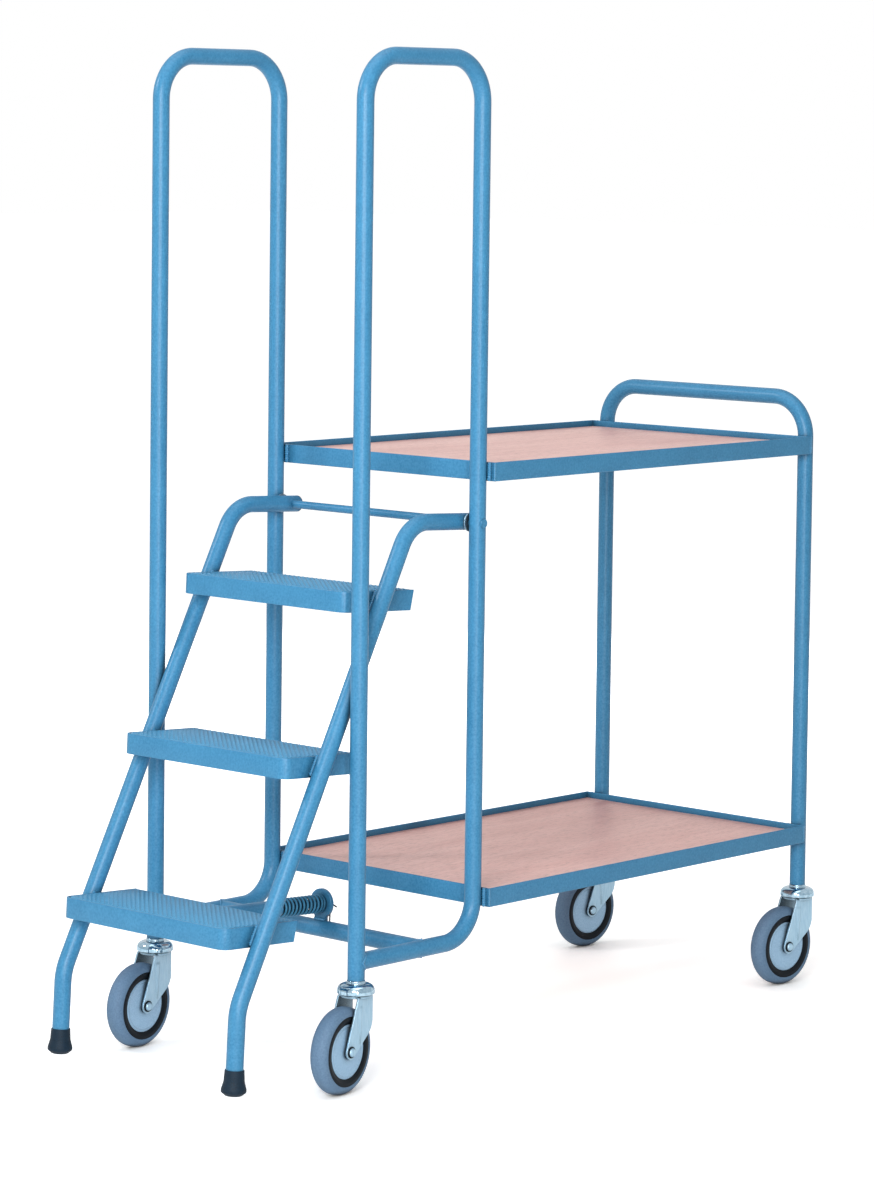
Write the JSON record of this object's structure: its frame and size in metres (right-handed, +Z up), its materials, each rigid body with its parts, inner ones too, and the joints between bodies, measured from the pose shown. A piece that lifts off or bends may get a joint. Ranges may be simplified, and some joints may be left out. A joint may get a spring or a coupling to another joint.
{
  "type": "order picking trolley",
  "caption": "Two-tray order picking trolley with a sprung step unit between tall handrail hoops, a push handle and swivel castors.",
  "frame": {"origin": "on the floor under the middle of the whole trolley", "axes": "+Z up, +X from the step end towards the push handle, +Y to the left of someone facing the handle from the steps"},
  "size_m": [1.2954, 0.475, 1.483],
  "materials": {
    "blue_powder_coat": "light blue semi-gloss powder coat",
    "plywood": "reddish-brown varnished plywood",
    "zinc_plate": "bright zinc plate",
    "bright_chrome": "bright chrome",
    "black_rubber": "moulded black rubber",
    "black_plastic": "moulded black plastic",
    "grey_rubber": "non-marking grey rubber",
    "spring_steel": "oiled spring steel"
  },
  "bodies": {
    "frame": {"right_hoop": "blue_powder_coat", "left_hoop": "blue_powder_coat", "push_handle": "blue_powder_coat", "cross_bar": "blue_powder_coat", "spring_lug": "blue_powder_coat", "upper_tray_right_angle": "blue_powder_coat", "upper_tray_left_angle": "blue_powder_coat", "upper_tray_front_angle": "blue_powder_coat", "upper_tray_rear_angle": "blue_powder_coat", "upper_board": "plywood", "lower_tray_right_angle": "blue_powder_coat", "lower_tray_left_angle": "blue_powder_coat", "lower_tray_front_angle": "blue_powder_coat", "lower_tray_rear_angle": "blue_powder_coat", "lower_board": "plywood", "pivot_rod": "blue_powder_coat", "pivot_washers": "blue_powder_coat", "pivot_caps": "blue_powder_coat", "castor_stems": "zinc_plate", "castor_cups": "bright_chrome", "swivel_races": "zinc_plate"},
    "steps": {"right_stringer": "blue_powder_coat", "left_stringer": "blue_powder_coat", "right_foot": "black_rubber", "left_foot": "black_rubber", "stringer_plugs": "black_plastic", "guide_sleeve": "blue_powder_coat", "guide_rod": "zinc_plate", "stop_washer": "zinc_plate", "split_pin": "zinc_plate", "step_spring": "spring_steel", "lower_tread_band": "blue_powder_coat", "lower_tread_plate": "blue_powder_coat", "middle_tread_band": "blue_powder_coat", "middle_tread_plate": "blue_powder_coat", "upper_tread_band": "blue_powder_coat", "upper_tread_plate": "blue_powder_coat"},
    "front_right_fork": {"front_right_fork": "zinc_plate", "front_right_axle": "zinc_plate"},
    "front_right_wheel": {"front_right_hub": "black_plastic", "front_right_tyre": "grey_rubber", "front_right_covers": "zinc_plate"},
    "front_left_fork": {"front_left_fork": "zinc_plate", "front_left_axle": "zinc_plate"},
    "front_left_wheel": {"front_left_hub": "black_plastic", "front_left_tyre": "grey_rubber", "front_left_covers": "zinc_plate"},
    "rear_right_fork": {"rear_right_fork": "zinc_plate", "rear_right_axle": "zinc_plate"},
    "rear_right_wheel": {"rear_right_hub": "black_plastic", "rear_right_tyre": "grey_rubber", "rear_right_covers": "zinc_plate"},
    "rear_left_fork": {"rear_left_fork": "zinc_plate", "rear_left_axle": "zinc_plate"},
    "rear_left_wheel": {"rear_left_hub": "black_plastic", "rear_left_tyre": "grey_rubber", "rear_left_covers": "zinc_plate"}
  },
  "joints": [
    {"name": "steps_tilt", "type": "hinge", "parent": "frame", "child": "steps", "pos_m": [-0.16702, -0.00134, 0.795], "axis": [0, -1, 0], "range_deg": [0, 3], "stiffness_Nm_per_rad": 1400, "springref_deg": -1.15, "deforming": ["step_spring"]},
    {"name": "front_right_swivel", "type": "hinge", "parent": "frame", "child": "front_right_fork", "pos_m": [-0.41402, -0.20834, 0.158], "axis": [0, 0, 1], "continuous": true},
    {"name": "front_right_roll", "type": "hinge", "parent": "front_right_fork", "child": "front_right_wheel", "pos_m": [-0.45058, -0.21406, 0.0625], "axis": [-0.1547, 0.988, 0], "continuous": true},
    {"name": "front_left_swivel", "type": "hinge", "parent": "frame", "child": "front_left_fork", "pos_m": [-0.41402, 0.20566, 0.158], "axis": [0, 0, 1], "continuous": true},
    {"name": "front_left_roll", "type": "hinge", "parent": "front_left_fork", "child": "front_left_wheel", "pos_m": [-0.45084, 0.20205, 0.0625], "axis": [-0.0976, 0.9952, 0], "continuous": true},
    {"name": "rear_right_swivel", "type": "hinge", "parent": "frame", "child": "rear_right_fork", "pos_m": [0.62018, -0.20834, 0.158], "axis": [0, 0, 1], "continuous": true},
    {"name": "rear_right_roll", "type": "hinge", "parent": "rear_right_fork", "child": "rear_right_wheel", "pos_m": [0.58334, -0.20486, 0.0625], "axis": [0.0941, 0.9956, 0], "continuous": true},
    {"name": "rear_left_swivel", "type": "hinge", "parent": "frame", "child": "rear_left_fork", "pos_m": [0.62018, 0.20566, 0.158], "axis": [0, 0, 1], "continuous": true},
    {"name": "rear_left_roll", "type": "hinge", "parent": "rear_left_fork", "child": "rear_left_wheel", "pos_m": [0.58331, 0.20882, 0.0625], "axis": [0.0854, 0.9963, 0], "continuous": true}
  ]
}
